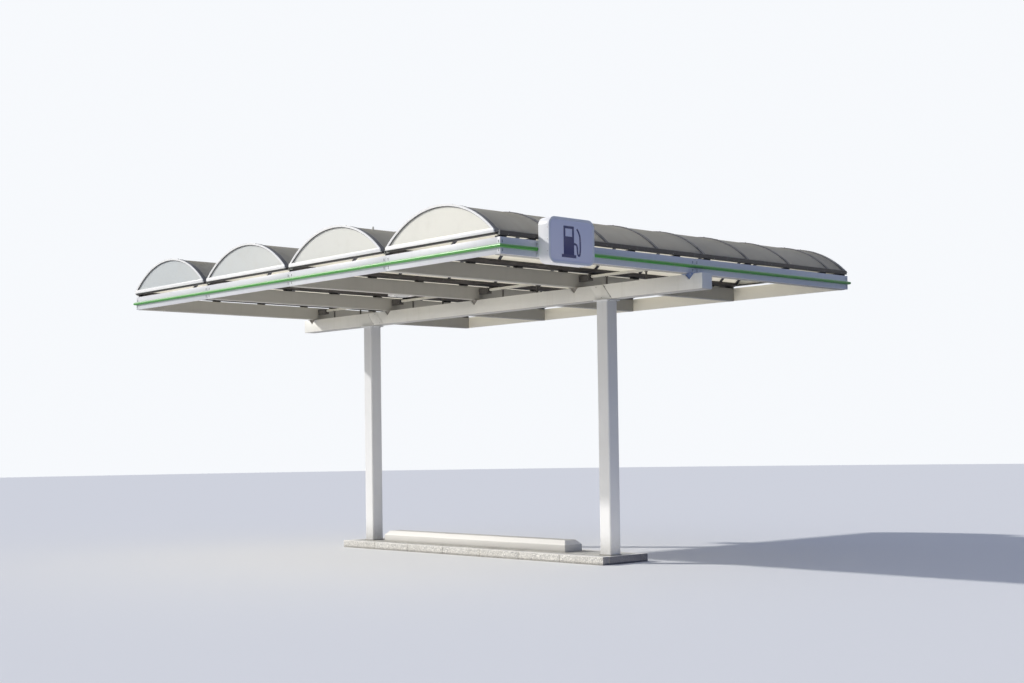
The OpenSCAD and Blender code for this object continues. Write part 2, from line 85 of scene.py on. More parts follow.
# %% Wires
class Wire:
    """One output of a net, on which Python's signs add Math nodes."""

    def __init__(self, net, socket):
        self.net, self.socket = net, socket

    def __add__(self, other):
        return self.net.maths("ADD", self, other)

    def __sub__(self, other):
        return self.net.maths("SUBTRACT", self, other)

    def __rsub__(self, other):
        return self.net.maths("SUBTRACT", other, self)

    def __mul__(self, other):
        return self.net.maths("MULTIPLY", self, other)

    __radd__ = __add__
    __rmul__ = __mul__

    def above(self, edge, softness):
        """0 below the edge and 1 above it, with a soft step between."""
        return self.net.node("ShaderNodeMapRange", {"Value": self, "From Min": edge - softness,
                             "From Max": edge + softness}, interpolation_type="SMOOTHSTEP")


# %% Nets
class Net:
    """A tree of shader nodes that starts empty."""

    def __init__(self, holder):
        holder.use_nodes = True
        self.tree = holder.node_tree
        self.tree.nodes.clear()

    def node(self, kind, sockets=None, out=0, **settings):
        """Makes a node, sets it up, feeds its sockets and gives back one of its outputs."""
        made = self.tree.nodes.new(kind)
        for key, value in settings.items():
            setattr(made, key, value)
        for key, value in (sockets or {}).items():
            self.feed(made.inputs[key], value)
        return Wire(self, made.outputs[out])

    def feed(self, socket, value):
        """Links a wire to a socket, or writes a plain value into it."""
        if isinstance(value, Wire):
            self.tree.links.new(value.socket, socket)
        elif isinstance(value, tuple) and socket.type == "RGBA":
            socket.default_value = (*value, 1.0)
        else:
            socket.default_value = value

    def maths(self, operation, first, second):
        """One Math node on two values."""
        return self.node("ShaderNodeMath", {0: first, 1: second}, operation=operation)

    def mix(self, amount, first, second):
        """Goes from the first colour to the second."""
        return self.node("ShaderNodeMix", {"Factor": amount, 6: first, 7: second}, out=2,
                         data_type="RGBA")

    def either(self, amount, first, second):
        """Goes from the first shader to the second."""
        return self.node("ShaderNodeMixShader", {"Fac": amount, 1: first, 2: second})

    def seen(self):
        """1 for what the camera sees, also mirrored or through a sheet, and 0 for all other light."""
        looking, mirrored, passing = [self.node("ShaderNodeLightPath", out=kind) for kind in (
            "Is Camera Ray", "Is Glossy Ray", "Is Transmission Ray")]
        return looking + mirrored + passing


# %% Finishes
class Finish(Net):
    """A material with one Principled shader, built up by wires."""

    def __init__(self, name, rough=0.5, metal=0.0):
        self.material = bpy.data.materials.new(name)
        super().__init__(self.material)
        self.shader = self.node("ShaderNodeBsdfPrincipled", {"Roughness": rough, "Metallic": metal})
        self.out = self.tree.nodes.new("ShaderNodeOutputMaterial")
        self.end(self.shader)
        self.place = self.node("ShaderNodeTexCoord", out="Object")
        self.axes = self.node("ShaderNodeSeparateXYZ", {0: self.place}).socket.node.outputs
        print("finish", name)

    def end(self, shader):
        """Makes this shader the one that the material shows."""
        self.feed(self.out.inputs["Surface"], shader)

    def set(self, **inputs):
        """Feeds inputs of the Principled shader; an underscore stands for a space in a name."""
        for key, value in inputs.items():
            self.feed(self.shader.socket.node.inputs[key.replace("_", " ")], value)
        return self

    def axis(self, name):
        """Where the shaded point lies along X, Y or Z, in metres."""
        return Wire(self, self.axes[name])

    def noise(self, scale, detail=3.0, rough=0.5, stretch=(1.0, 1.0, 1.0)):
        """Cloudy noise; scale is in lumps a metre, and a small stretch draws it out along an axis."""
        where = self.node("ShaderNodeMapping", {"Vector": self.place, "Scale": stretch})
        return self.node("ShaderNodeTexNoise", {"Vector": where, "Scale": scale, "Detail": detail,
                                                "Roughness": rough})

    def bump(self, height, strength, distance):
        """Slight relief for the Normal input; distance is its depth in metres."""
        return self.node("ShaderNodeBump", {"Height": height, "Strength": strength,
                                            "Distance": distance})


# %% [markdown]
# ## Light
# A low morning sun stands to the left and a little to the front, so the fronts and the left sides are
# bright and the end with the sign box is in cool shade. The sky could be a picture of a real one; a soft
# glow that is warmer and stronger on the sun's side does as well, and keeps the colours as they are
# written. The camera, and what is mirrored or seen through a sheet, gets a plain pale backdrop. A wide soft
# lamp just above the floor stands for sunlight that is thrown up, and lights the beams from below.

# %% Sky
sky = bpy.data.worlds.new("soft_sky")
bpy.context.scene.world = sky
air = Net(sky)
way = air.node("ShaderNodeTexCoord", out="Generated")
sunward = air.node("ShaderNodeVectorMath", {0: way, 1: (-0.48, -0.84, 0.25)}, out="Value",
                   operation="DOT_PRODUCT")
glow = air.mix(sunward.above(0.15, 0.65), (0.055, 0.120, 0.31), (0.58, 0.58, 0.59))
shine = air.node("ShaderNodeBackground", {"Color": glow, "Strength": 1.0})
backdrop = air.node("ShaderNodeBackground", {"Color": (0.93, 0.95, 0.98), "Strength": 1.0})
air.feed(air.tree.nodes.new("ShaderNodeOutputWorld").inputs["Surface"],
         air.either(air.seen(), shine, backdrop))
bpy.context.scene.view_settings.view_transform = "Standard"
print("sky:", len(air.tree.nodes), "nodes")

# %% Sun
to_sun = Vector((-1.557, -1.099, 1.0))
bpy.ops.object.light_add(type="SUN", location=(-16.0, -11.0, 10.0))
sun = bpy.context.object
sun.name = "morning_sun"
sun.rotation_euler = to_sun.to_track_quat("Z", "Y").to_euler()
sun.data.energy = 3.0
sun.data.angle = math.radians(1.5)
sun.data.color = (1.0, 0.975, 0.93)
print("sun height", round(math.degrees(math.atan2(to_sun.z, to_sun.xy.length)), 1), "degrees")

# %% Light from below
bpy.ops.object.light_add(type="AREA", location=(2.0, -5.0, 0.03), rotation=(math.pi, 0.0, 0.0))
bounce = bpy.context.object
bounce.name = "bounce_light"
bounce.data.shape = "RECTANGLE"
bounce.data.size, bounce.data.size_y = 13.0, 11.0
bounce.data.energy = 350.0
bounce.data.color = (1.0, 0.96, 0.88)
bounce.visible_camera = False
print("lamp from below:", bounce.data.size, "by", bounce.data.size_y, "m")

# %% [markdown]
# ## White paint
# Columns, fascias and beams are coated steel. Close up the coat has a slight orange peel, and years of rain
# leave thin grey streaks and a tone that is a little uneven. Each piece could have a net of its own. One
# function makes every white instead, so the pieces belong together, and each call says how weathered that
# piece is. Masks by height and depth add what has a place: grime at the feet of the columns, painted shade
# on the underside of the long beam, and a painted pale cream on the inner side of the back fascia, which
# stands for light thrown up from the ground.

# %% White paint
def white_paint(name, colour, weather=0.5, grime_z=None, painted_shade_z=None, inner_y=None, rough=0.42):
    """Coated steel with a cloudy tone and thin streaks. Grime fades out upwards from grime_z. The underside
    below the shade height is painted darker as painted shade, and the side up to inner_y is painted cream as
    painted bounce light."""
    f = Finish(name)
    cloud = f.noise(0.9, 4.0, 0.6)
    streaks = f.noise(9.0, 3.0, 0.55, stretch=(1.0, 1.0, 0.07))
    worn = tuple(c * k for c, k in zip(colour, (0.80, 0.79, 0.76)))
    shade = f.mix((cloud.above(0.58, 0.16) * 0.55 + streaks.above(0.60, 0.10) * 0.45) * weather,
                  colour, worn)
    if grime_z is not None:
        low = 1.0 - f.axis("Z").above(grime_z + 0.22, 0.22)
        shade = f.mix(low * (f.noise(14.0, 4.0, 0.6) * 0.75), shade, (0.36, 0.34, 0.30))
    if painted_shade_z is not None:
        # Painted shade: below this height the underside is painted darker, as it lies in shade.
        under = 1.0 - f.axis("Z").above(painted_shade_z, 0.002)
        shade = f.mix(under * 0.8, shade, (0.30, 0.29, 0.27))
    if inner_y is not None:
        # Painted light: the inner side is painted pale cream, standing for light thrown up from the ground.
        shade = f.mix(1.0 - f.axis("Y").above(inner_y, 0.002), shade, (0.97, 0.94, 0.84))
    peel = f.noise(260.0, 1.0)
    return f.set(Base_Color=shade, Roughness=rough - 0.05 + cloud * 0.14,
                 Normal=f.bump(peel, 0.08, 0.0006))


fascia_colour = (0.70, 0.71, 0.75)
column_white = white_paint("column_white", (0.70, 0.71, 0.73), weather=0.3, grime_z=0.14)
beam_white = white_paint("beam_white", (0.82, 0.81, 0.77), weather=0.45, painted_shade_z=4.427)
fascia_white = white_paint("fascia_white", fascia_colour, weather=0.35, rough=0.36)
# The back fascia's inner side is painted cream as painted bounce light.
fascia_cream = white_paint("fascia_cream", fascia_colour, weather=0.35, inner_y=4.150, rough=0.36)
cross_white = white_paint("cross_white", (0.39, 0.38, 0.355), weather=0.35, rough=0.5)
trim_white = white_paint("trim_white", (0.90, 0.90, 0.90), weather=0.3, rough=0.34)
sign_white = white_paint("sign_white", (0.84, 0.85, 0.88), weather=0.2, rough=0.3)
tube_white = white_paint("tube_white", (0.78, 0.76, 0.70), weather=0.8)
lamp_white = white_paint("lamp_white", (0.84, 0.84, 0.83), weather=0.4)
bracket_grey = white_paint("bracket_grey", (0.60, 0.63, 0.68), weather=0.3)
cap_grey = white_paint("cap_grey", (0.56, 0.55, 0.51), weather=0.8)

# %% [markdown]
# ## Dark bronze, rubber and shoes
# The ribs, base profiles and sills are dark bronze aluminium that has gone dull, with pale dust where water
# dries. The pointed shoes are darker painted steel, and blocks and gaskets are rubber. A plain dark colour
# would look like a hole in the picture. Patches of dust, which are also rougher, and thin runs show that
# there is a surface, and the same net serves them all.

# %% Dark metals
def dull_coat(name, colour, dust, rough, metal=0.0, dusty=0.5, painted_skylight_end=None):
    """A dark coat with pale dust in patches and runs; the last argument is a painted blue at the sign's end,
    a painted skylight on that shaded end.
    """
    f = Finish(name, metal=metal)
    patches = f.noise(5.0, 5.0, 0.65).above(0.56, 0.12)
    runs = f.noise(14.0, 3.0, 0.5, stretch=(1.0, 1.0, 0.1)).above(0.62, 0.08)
    shade = f.mix((patches * 0.6 + runs * 0.4) * dusty, colour, dust)
    # Painted skylight: the shoe at the sign's end is painted blue for the cool shade it stands in.
    if painted_skylight_end is not None:
        shade = f.mix(f.axis("X").above(5.0, 0.02), shade, painted_skylight_end)
    return f.set(Base_Color=shade, Roughness=rough + patches * 0.2,
                 Normal=f.bump(f.noise(180.0, 2.0), 0.1, 0.0008))


bronze = dull_coat("dark_bronze", (0.050, 0.044, 0.042), (0.17, 0.16, 0.15), 0.46)
rib_bronze = dull_coat("rib_bronze", (0.045, 0.047, 0.062), (0.14, 0.14, 0.15), 0.44, dusty=0.4)
shoe_dark = dull_coat("shoe_dark", (0.26, 0.24, 0.21), (0.38, 0.36, 0.33), 0.5,
                      painted_skylight_end=(0.13, 0.19, 0.36))
box_dark = dull_coat("box_dark", (0.085, 0.080, 0.075), (0.20, 0.19, 0.18), 0.55)
rubber = dull_coat("rubber", (0.020, 0.020, 0.020), (0.08, 0.08, 0.08), 0.7, dusty=0.35)
gasket = dull_coat("gasket", (0.095, 0.090, 0.085), (0.18, 0.17, 0.16), 0.7, dusty=0.4)
mastic = dull_coat("mastic", (0.22, 0.21, 0.19), (0.34, 0.33, 0.30), 0.75)
zinc = dull_coat("zinc", (0.46, 0.46, 0.45), (0.34, 0.33, 0.31), 0.45, metal=0.8)
dark_screw = dull_coat("dark_screw", (0.11, 0.11, 0.11), (0.24, 0.23, 0.21), 0.5, metal=0.3)

# %% [markdown]
# ## The vault sheets
# The sheets are cloudy plastic with two skins and fine webs between them. Light comes through, so from
# below they glow. Glass with real transmission would be slow and too clear; a Translucent shader mixed into
# the Principled one gives the soft glow. On top, dust has settled along the ridge as a warm band that thins
# out down the slope. The inner face, found by its distance from the vault's axis, is painted pale cream and
# lets a little more light through: painted light for the glow inside the vault. The slopes that turn away
# from the morning sun let less light through, as painted shade.

# %% Vault sheets
vault_pitch, vault_z = 2.6, 3.7505
sheet_middle = 1.7602


def cloudy_sheet():
    """Twin-wall plastic. sheet_middle is the radius halfway between its inner and its outer face."""
    f = Finish("vault_sheet")
    ridge = f.axis("Z").above(5.36, 0.17)
    cloud = f.noise(1.6, 5.0, 0.62)
    runs = f.noise(7.0, 3.0, 0.5, stretch=(0.12, 1.0, 0.12))
    dirty = ridge * (cloud * 0.7 + 0.42) + runs.above(0.60, 0.10) * 0.16
    across = f.maths("FLOORED_MODULO", f.axis("X"), vault_pitch) - vault_pitch / 2
    rise = f.axis("Z") - vault_z
    # The inner face is painted pale cream and lets more light through: painted light from inside the vault.
    inside = 1.0 - (across * across + rise * rise).above(sheet_middle ** 2, 0.006)
    # Painted shade: the slopes turned away from the sun let less light through.
    painted_shade_slopes = across.above(0.20, 0.15)
    webs = f.node("ShaderNodeTexWave", {"Vector": f.place, "Scale": 9.0, "Distortion": 0.0},
                  bands_direction="Y")
    dust = (0.085, 0.070, 0.036)
    shade = f.mix(dirty, (0.075, 0.088, 0.115), dust)
    shade = f.mix(webs.above(0.93, 0.05) * 0.10, shade, dust)
    shade = f.mix(inside, shade, (0.90, 0.88, 0.80))
    f.set(Base_Color=shade, Roughness=0.40 + cloud * 0.25, Specular_IOR_Level=0.3,
          Normal=f.bump(webs, 0.05, 0.001))
    through = f.node("ShaderNodeBsdfTranslucent", {"Color": (0.97, 0.94, 0.86)})
    held_back = (painted_shade_slopes * 0.34 + dirty * 0.12) * (1.0 - inside)
    f.end(f.either(0.60 - held_back + inside * 0.05, f.shader, through))
    return f


vault_sheet = cloudy_sheet()

# %% [markdown]
# The flat end panels are smooth sheets with only faint clouds in them. Towards the sign they are cream
# coloured, and towards the far end the colour goes grey and a little blue. Four finishes would do it as
# well, but one that drifts along X needs no seams and no choices.

# %% End panels
def cream_sheet():
    f = Finish("cream_sheet")
    cloud = f.noise(1.3, 4.0, 0.6)
    edge = f.noise(4.0, 4.0, 0.6).above(0.60, 0.15)
    # The colour drifts from grey-blue at the far end to cream towards the sign.
    towards_sign = f.axis("X").above(0.0, 5.0)
    shade = f.mix(towards_sign, (0.64, 0.69, 0.72), (0.97, 0.96, 0.88))
    shade = f.mix(cloud * 0.3, shade, (0.80, 0.79, 0.74))
    f.set(Base_Color=f.mix(edge * 0.18, shade, (0.66, 0.64, 0.57)), Roughness=0.28 + cloud * 0.12,
          Normal=f.bump(f.noise(2.2, 2.0), 0.06, 0.01))
    through = f.node("ShaderNodeBsdfTranslucent", {"Color": (0.85, 0.82, 0.70)})
    f.end(f.either(0.15, f.shader, through))
    return f


end_cream = cream_sheet()

# %% [markdown]
# ## Green stripe
# The stripe is a half-round profile in strong green with a cloudy, uneven tone, and the underside stays
# deep. Light alone would show the roundness only in the sun, so the upper half, above the stripe's middle
# line, is painted lighter: a painted highlight.

# %% Green stripe
def stripe_paint():
    f = Finish("stripe_green")
    bleach = f.noise(2.0, 4.0, 0.6)
    dust = f.noise(11.0, 3.0, 0.6, stretch=(1.0, 1.0, 0.3)).above(0.62, 0.1)
    # Painted highlight: the upper half is painted lighter.
    lit_upper_half = f.axis("Z").above(4.812, 0.008)
    shade = f.mix(bleach * 0.6, (0.045, 0.30, 0.035), (0.09, 0.40, 0.06))
    shade = f.mix(lit_upper_half * 0.5, shade, (0.30, 0.62, 0.22))
    return f.set(Base_Color=f.mix(dust * 0.2, shade, (0.30, 0.34, 0.26)),
                 Roughness=0.26 + bleach * 0.14, Normal=f.bump(f.noise(240.0, 1.0), 0.05, 0.0005))


stripe_green = stripe_paint()

# %% [markdown]
# ## Stone, plinth and paving
# The kerb is light grey granite, which is a mass of small grains in three greys. Noise alone would look
# like concrete; Voronoi cells, each in one of the greys, look like grains. Its foot is dirty. Its top is
# painted paler as a painted highlight where the sun falls, and the end on the sign's side is painted dark
# blue as painted shade.

# %% Granite
kerb_height, kerb_end_x = 0.138, 3.500


def granite():
    f = Finish("granite")
    cells = f.node("ShaderNodeTexVoronoi", {"Vector": f.place, "Scale": 85.0}, out="Color")
    grain = f.node("ShaderNodeSeparateXYZ", {0: cells})
    patch = f.noise(3.0, 5.0, 0.65)
    blotch = f.noise(16.0, 3.0, 0.6)
    # Painted highlight: the top is painted paler where the sun falls on it.
    painted_lit_top = f.axis("Z").above(kerb_height - 0.007, 0.004)
    foot = 1.0 - f.axis("Z").above(0.035, 0.035)
    # Painted shade: the end on the sign's side is painted dark blue.
    painted_shade_end = f.axis("X").above(kerb_end_x - 0.008, 0.010)
    shade = f.mix(grain.above(0.72, 0.06), (0.44, 0.44, 0.425), (0.25, 0.25, 0.26))
    shade = f.mix((1.0 - grain.above(0.22, 0.05)) * 0.8, shade, (0.66, 0.65, 0.63))
    shade = f.mix(blotch.above(0.57, 0.10) * 0.22, shade, (0.74, 0.73, 0.71))
    shade = f.mix(patch.above(0.56, 0.14) * 0.4, shade, (0.38, 0.37, 0.35))
    shade = f.mix(foot * 0.45, shade, (0.26, 0.25, 0.23))
    shade = f.mix(painted_lit_top * 0.75, shade, (0.80, 0.79, 0.77))
    shade = f.mix(painted_shade_end * 0.9, shade, (0.05, 0.055, 0.085))
    return f.set(Base_Color=shade, Roughness=0.62 + patch * 0.2,
                 Normal=f.bump(f.noise(60.0, 4.0, 0.7), 0.35, 0.004))


kerb_stone = granite()

# %% [markdown]
# The plinth is painted concrete: brush marks along it, chips that show the grey below, and dirt at its
# foot. Its bevels are painted whiter than the faces, a painted highlight where the sun falls on them, and
# its top is walked grey.
# These bands lie at fixed heights, so masks by height place them without any painting by hand.

# %% Painted plinth
def painted_concrete():
    f = Finish("painted_concrete")
    brush = f.noise(26.0, 4.0, 0.65, stretch=(0.25, 1.0, 1.0))
    chips = f.noise(9.0, 6.0, 0.72).above(0.69, 0.02)
    cloud = f.noise(1.8, 4.0, 0.6)
    # Painted highlight: the bevels are painted whiter where the sun falls on them.
    bevel = f.axis("Z").above(0.262, 0.004)
    walked = f.axis("Z").above(0.3415, 0.001)
    foot = 1.0 - f.axis("Z").above(0.160, 0.025)
    shade = f.mix(cloud * 0.5, (0.60, 0.59, 0.57), (0.53, 0.52, 0.49))
    shade = f.mix(bevel, shade, (0.77, 0.76, 0.74))
    shade = f.mix(walked * 0.8, shade, (0.46, 0.45, 0.43))
    shade = f.mix(chips * 0.7, shade, (0.50, 0.48, 0.45))
    shade = f.mix(foot * (0.3 + f.noise(20.0, 3.0) * 0.6), shade, (0.34, 0.33, 0.30))
    return f.set(Base_Color=shade, Roughness=0.5 + cloud * 0.2,
                 Normal=f.bump(brush - chips * 0.6, 0.3, 0.003))


plinth_white = painted_concrete()

# %% [markdown]
# The top of the island is plain concrete paving with sunk joints and oil spots. The joints could be
# modelled, but they are a few millimetres wide and lie flat, so a Brick texture gives both their colour and,
# through Bump, their depth.

# %% Paving
def paving():
    f = Finish("paving")
    laid = {"Vector": f.place, "Scale": 1.0, "Brick Width": 0.4, "Row Height": 0.2,
            "Mortar Size": 0.006, "Color1": (0.46, 0.45, 0.43), "Color2": (0.54, 0.53, 0.50),
            "Mortar": (0.17, 0.165, 0.155)}
    flags = f.node("ShaderNodeTexBrick", laid)
    joint = f.node("ShaderNodeTexBrick", laid, out="Fac")
    oil = f.noise(2.6, 5.0, 0.6).above(0.62, 0.08)
    return f.set(Base_Color=f.mix(oil * 0.6, flags, (0.16, 0.155, 0.15)), Roughness=0.85 - oil * 0.35,
                 Normal=f.bump(f.noise(120.0, 3.0) * 0.3 - joint, 0.6, 0.003))


island_paving = paving()

# %% [markdown]
# The sign's face, its symbol and the lenses of the lamps are smooth plastic. Such a sheet is never quite
# even, so a faint cloud runs through both colour and gloss; anything stronger would read as dirt.

# %% Smooth plastics
def smooth_plastic(name, colour, rough):
    f = Finish(name)
    cloud = f.noise(3.0, 3.0, 0.5)
    deeper = tuple(c * 0.93 for c in colour)
    return f.set(Base_Color=f.mix(cloud * 0.4, colour, deeper), Roughness=rough + cloud * 0.08,
                 Normal=f.bump(f.noise(90.0, 1.0), 0.02, 0.0005))


# The sign sheet is tinted blue as a painted cool skylight on its shaded face.
sign_sheet = smooth_plastic("sign_sheet", (0.84, 0.83, 0.96), 0.22)
mark_blue = smooth_plastic("mark_blue", (0.015, 0.020, 0.13), 0.3)
lens_sheet = smooth_plastic("lens_sheet", (0.50, 0.50, 0.49), 0.18)
print("finishes:", len(bpy.data.materials))

# %% [markdown]
# ## Finishes on the CAD pieces
# Each CAD piece keeps its shape and gets its finish here, through its material slots, so its mesh is not
# touched. Some are replaced further down by copies with softened edges, which take the finish over.

# %% Handing out the finishes
finish_of = {
    "kerb_stones": kerb_stone, "island_paving": island_paving, "pump_plinth": plinth_white,
    "column_left": column_white, "column_right": column_white, "column_caps": column_white,
    "main_beam_left": beam_white, "main_beam_middle": beam_white, "main_beam_right": beam_white,
    "splice_plates": beam_white, "beam_shoes": shoe_dark, "bearing_blocks": rubber,
    "base_profiles": bronze, "profile_caps": cap_grey, "valley_flashings": bronze,
    "end_panels": end_cream, "end_trims": trim_white, "end_gaskets": gasket, "end_bars": trim_white,
    "end_sills": bronze, "fascia_front": fascia_white, "fascia_back": fascia_cream,
    "fascia_left": fascia_white, "fascia_right": fascia_white, "green_stripe": stripe_green,
    "sign_bracket": bracket_grey, "sign_box": sign_white, "sign_face": sign_sheet,
    "service_tubes": tube_white, "service_boxes": box_dark, "luminaires": lamp_white,
    "ridge_lug": zinc,
}
finish_of.update({f"cross_beam_{k}": cross_white for k in range(1, 6)})
finish_of.update({f"vault_ribs_{k}": rib_bronze for k in range(1, 5)})
finish_of.update({f"vault_skin_{k}": vault_sheet for k in range(1, 5)})
for name, node in nodes.items():
    for holder in node.material_slots:
        holder.material = finish_of[name].material
print("finished nodes:", len(finish_of))

# %% [markdown]
# ## Soft edges
# Folded, welded and cast pieces never end in a knife edge: a small rounding catches a thin line of light.
# A Bevel node could fake it in the shader, but only real geometry goes along when the model is exported.
# The mesh of a CAD piece has to stay as it is, so the piece is copied. The copy's loose triangles are
# merged, its flat faces are joined again, and a Bevel modifier rounds what is sharp. Then the copy stands
# for the CAD piece.

# %% Tools for one piece
def only(piece):
    """Selects this piece and nothing else, and makes it the active one."""
    bpy.ops.object.select_all(action="DESELECT")
    piece.select_set(True)
    bpy.context.view_layer.objects.active = piece
    return piece


def opened(piece):
    """Opens the piece for editing with all of it selected."""
    only(piece)
    bpy.ops.object.mode_set(mode="EDIT")
    bpy.ops.mesh.select_all(action="SELECT")


def close(piece):
    """Leaves editing."""
    bpy.ops.object.mode_set(mode="OBJECT")
    return piece


def ease(piece, width, segments=2):
    """Rounds every edge that is sharper than 35 degrees, and shades across the rounding."""
    only(piece)
    soft = piece.modifiers.new("soft_edge", "BEVEL")
    soft.width, soft.segments = width, segments
    soft.limit_method, soft.angle_limit = "ANGLE", math.radians(35.0)
    bpy.ops.object.modifier_apply(modifier=soft.name)
    bpy.ops.object.shade_smooth_by_angle(angle=math.radians(40.0))
    return piece


def finished(piece, finish, slot):
    """Gives a new piece its finish and the body that it rides on. The slot is not used."""
    piece.data.materials.clear()
    piece.data.materials.append(finish.material)
    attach(piece, "root")
    print(piece.name, len(piece.data.polygons), "faces")
    return piece


# %% Rounded copies
def softened(node, width):
    """A copy of a CAD piece with rounded edges, which stands for that piece."""
    piece = bpy.data.objects.new(node + "_eased", nodes[node].data.copy())
    bpy.context.collection.objects.link(piece)
    only(piece)
    bpy.ops.mesh.customdata_custom_splitnormals_clear()
    opened(piece)
    bpy.ops.mesh.remove_doubles(threshold=0.00002)
    bpy.ops.mesh.dissolve_limited(angle_limit=math.radians(0.2))
    ease(close(piece), width)
    finished(piece, finish_of[node], slot_of[node])
    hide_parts(node)
    return piece


rounding = {
    "pump_plinth": 0.006, "column_caps": 0.002, "main_beam_left": 0.003, "main_beam_middle": 0.003,
    "main_beam_right": 0.003, "splice_plates": 0.0015, "beam_shoes": 0.0015, "bearing_blocks": 0.003,
    "fascia_front": 0.003, "fascia_back": 0.003, "fascia_left": 0.003, "fascia_right": 0.003,
    "profile_caps": 0.001, "end_bars": 0.002, "sign_bracket": 0.003, "sign_box": 0.003,
    "sign_face": 0.002, "service_boxes": 0.005, "luminaires": 0.003, "service_tubes": 0.001,
}
eased = {node: softened(node, width) for node, width in rounding.items()}

# %% [markdown]
# Two pieces need a second finish on some faces: the domed lens of a lamp belongs to the same CAD solid as
# its tray, and the tubes stand on dark brackets. Cutting them apart would change the pieces, so the faces
# are found by where they lie and only point at another material.

# %% Lenses and brackets
lens_x, lens_y, lens_radius, lens_top = -0.272, 1.6, 0.1455, 4.6955
lamps = eased["luminaires"]
lamps.data.materials.append(lens_sheet.material)
for face in lamps.data.polygons:
    away = math.hypot(face.center.x - lens_x, abs(face.center.y) - lens_y)
    face.material_index = 1 if face.center.z < lens_top and away < lens_radius else 0

tube_underside, end_stub_x = 4.824, 5.04
tubes = eased["service_tubes"]
tubes.data.materials.append(box_dark.material)
for face in tubes.data.polygons:
    on_end_stub = abs(face.center.x - end_stub_x) <= 0.1
    face.material_index = 1 if face.center.z < tube_underside and not on_end_stub else 0
for piece in (lamps, tubes):
    print(piece.name, sum(face.material_index for face in piece.data.polygons), "faces in the second finish")

# %% [markdown]
# ## Kerb stones
# The kerb is a ring of sawn granite stones about a metre long, with rough faces and mortar joints. One
# stone starts as a box, is cut across so that it can take a wavy surface, and gets worn edges. Seven make a
# long row, and one stands at each end. Bump alone would leave the outline straight, so a Displace modifier
# with a cloud texture roughs them all up at once; because it reads the place in the world, no two stones
# come out alike.

# %% Starting shapes
def added(primitive, **settings):
    """A new primitive, with nothing else selected."""
    bpy.ops.object.select_all(action="DESELECT")
    primitive(**settings)
    return bpy.context.object


def settle(piece):
    """Puts the piece's place, turn and size into its mesh."""
    only(piece)
    bpy.ops.object.transform_apply(location=True, rotation=True, scale=True)
    return piece


def block(name, low, high):
    """A box between two corners, from which a piece is shaped."""
    low, high = Vector(low), Vector(high)
    piece = added(bpy.ops.mesh.primitive_cube_add, size=1.0, location=(low + high) / 2, scale=high - low)
    piece.name = name
    return settle(piece)


def joined(pieces, name):
    """Makes one piece of many."""
    only(pieces[0])
    for piece in pieces:
        piece.select_set(True)
    bpy.ops.object.join()
    pieces[0].name = name
    return pieces[0]


# %% One row of stones
def stones(low, high, count):
    """Stones between two corners along X, with half a joint left at each end."""
    joint, pitch = 0.006, (high[0] - low[0]) / count
    parts = 8 if pitch > 0.5 else 2
    row = []
    for i in range(count):
        x0 = low[0] + pitch * i + joint / 2
        x1 = x0 + pitch - joint
        stone = block(f"stone_{i}", (x0, low[1], low[2]), (x1, high[1], high[2]))
        bpy.ops.object.mode_set(mode="EDIT")
        for cut in range(1, parts):
            bpy.ops.mesh.select_all(action="SELECT")
            bpy.ops.mesh.bisect(plane_co=(x0 + (x1 - x0) * cut / parts, 0.0, 0.0),
                                plane_no=(1.0, 0.0, 0.0))
        row.append(ease(close(stone), 0.008 + 0.002 * math.sin(i * 2.3)))
    return row


# %% Kerb
laid_stones = (stones((-3.705, -0.432, 0.0), (kerb_end_x, -0.282, kerb_height), 7)
               + stones((-3.705, 0.511, 0.0), (kerb_end_x, 0.661, kerb_height), 7)
               + stones((-3.708, -0.279, 0.0), (-3.552, 0.508, kerb_height), 1)
               + stones((3.347, -0.279, 0.0), (3.503, 0.508, kerb_height), 1))
kerb = joined(laid_stones, "kerb")
opened(kerb)
bpy.ops.mesh.subdivide(number_cuts=2)
close(kerb)
hewn = bpy.data.textures.new("hewn", "CLOUDS")
hewn.noise_scale, hewn.noise_depth = 0.09, 2
rough = kerb.modifiers.new("rough", "DISPLACE")
rough.texture, rough.texture_coords = hewn, "GLOBAL"
rough.strength, rough.mid_level = 0.006, 0.65
bpy.ops.object.modifier_apply(modifier=rough.name)
bpy.ops.object.shade_smooth_by_angle(angle=math.radians(50.0))
finished(kerb, kerb_stone, slot_of["kerb_stones"])
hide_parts("kerb_stones")

# %% [markdown]
# Mortar fills the joints and shows as a thin line a little behind the faces of the stones. Sixteen separate
# joints could be modelled, but one low tray of mortar that runs through all the stones shows as the same
# lines. It is a box with its top inset and sunk, so that it does not come up through the paving.

# %% Faces to work on
def pick(piece, test):
    """Opens the piece for editing with those faces selected whose middle and normal pass the test."""
    only(piece)
    bpy.ops.object.mode_set(mode="EDIT")
    bpy.ops.mesh.select_mode(type="FACE")
    bpy.ops.mesh.select_all(action="DESELECT")
    bpy.ops.object.mode_set(mode="OBJECT")
    for face in piece.data.polygons:
        face.select = test(face.center, face.normal)
    bpy.ops.object.mode_set(mode="EDIT")


def on_top(middle, normal):
    """The test for faces that look up."""
    return normal.z > 0.9


def extruded(way):
    """Pulls the selected faces out along a way."""
    bpy.ops.mesh.extrude_region_move(TRANSFORM_OT_translate={"value": way})


# %% Mortar
mortar = block("kerb_mortar", (-3.699, -0.426, 0.001), (3.494, 0.655, 0.131))
pick(mortar, on_top)
bpy.ops.mesh.inset(thickness=0.142)
extruded((0.0, 0.0, -0.06))
finished(ease(close(mortar), 0.002), mastic, slot_of["kerb_stones"])

